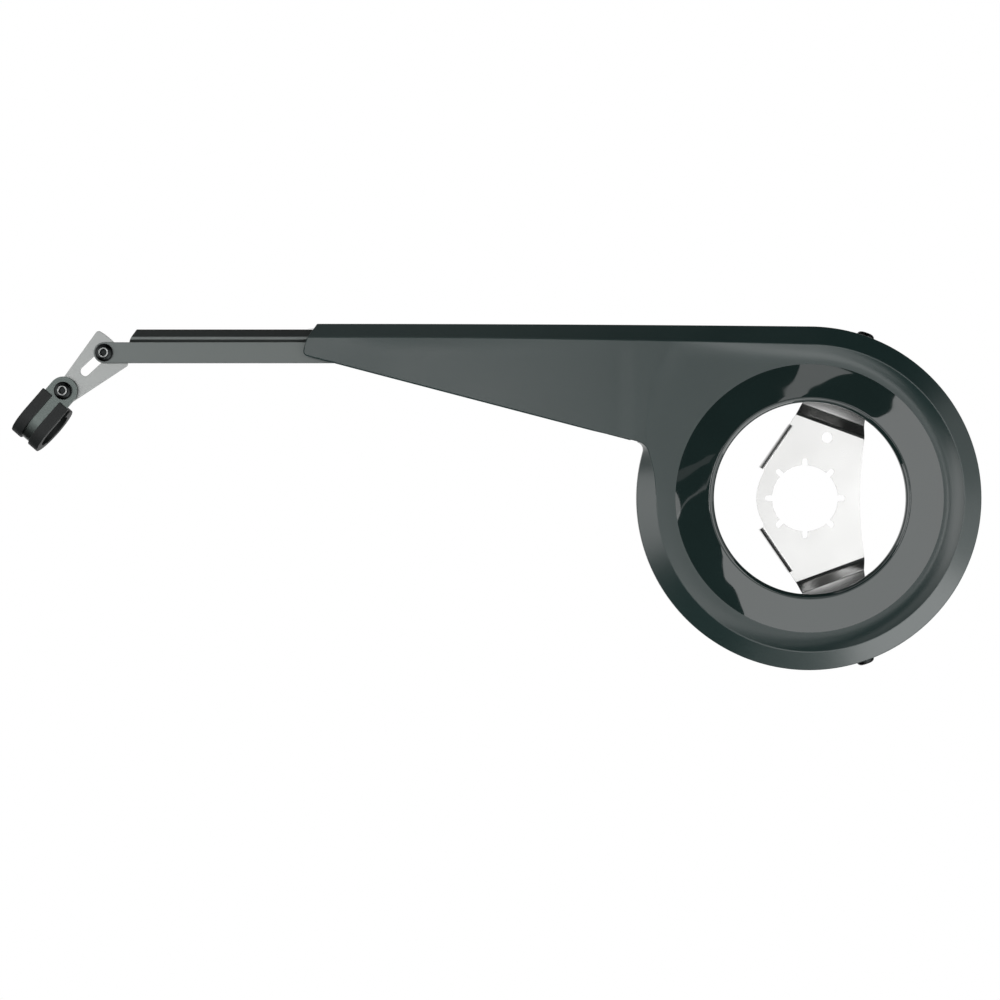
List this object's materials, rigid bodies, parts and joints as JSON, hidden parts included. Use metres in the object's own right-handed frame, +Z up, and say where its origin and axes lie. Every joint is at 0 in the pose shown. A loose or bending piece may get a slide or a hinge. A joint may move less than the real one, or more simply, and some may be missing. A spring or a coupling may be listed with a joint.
{
  "type": "bicycle chain guard",
  "caption": "Black half-open bicycle chain guard: dished ring with a crank opening, long tapered arm, steel bottom-bracket plate, sliding rear rail and a rubber-lined stay clip.",
  "frame": {"origin": "centre of the bottom-bracket bore, on the bracket plate's inboard seat face", "axes": "+X towards the bicycle's front, +Y inboard along the crank axis, +Z up"},
  "size_m": [0.5104, 0.0426, 0.1819],
  "materials": {
    "shell_plastic": "black moulded plastic, satin with a polished collar",
    "zinc_steel": "bright zinc-plated pressed steel",
    "rail_aluminium": "satin anodised extrusion",
    "strap_steel": "zinc-plated steel strip",
    "black_rubber": "matt moulded rubber",
    "black_screws": "black oxide steel"
  },
  "bodies": {
    "guard": {"guard_shell": "shell_plastic", "bb_bracket": "zinc_steel", "upper_rim_screw": "black_screws", "lower_rim_screw": "black_screws", "upper_rim_nut": "zinc_steel", "lower_rim_nut": "zinc_steel", "rail_lock_screw": "black_screws", "rail_lock_washer": "zinc_steel"},
    "rail": {"extension_rail": "rail_aluminium"},
    "pivot_bolt": {"slot_screw": "black_screws", "slot_washer": "zinc_steel", "slot_nut": "zinc_steel"},
    "link": {"link_plate": "zinc_steel"},
    "clip": {"clip_strap": "strap_steel", "clip_lining": "black_rubber", "clip_screw": "black_screws", "clip_nut": "zinc_steel"}
  },
  "joints": [
    {"name": "rail_slide", "type": "slide", "parent": "guard", "child": "rail", "axis": [1, 0, 0], "range_m": [-0.025, 0.025]},
    {"name": "link_pivot", "type": "hinge", "parent": "rail", "child": "pivot_bolt", "pos_m": [-0.3698, -0.008, 0.0766], "axis": [0, -1, 0], "range_deg": [-35, 50]},
    {"name": "link_slot", "type": "slide", "parent": "pivot_bolt", "child": "link", "axis": [0.7314, 0, 0.682], "range_m": [-0.0009, 0.006]},
    {"name": "clip_pivot", "type": "hinge", "parent": "link", "child": "clip", "pos_m": [-0.3913, -0.008, 0.05655], "axis": [0, -1, 0], "range_deg": [-45, 45]}
  ]
}
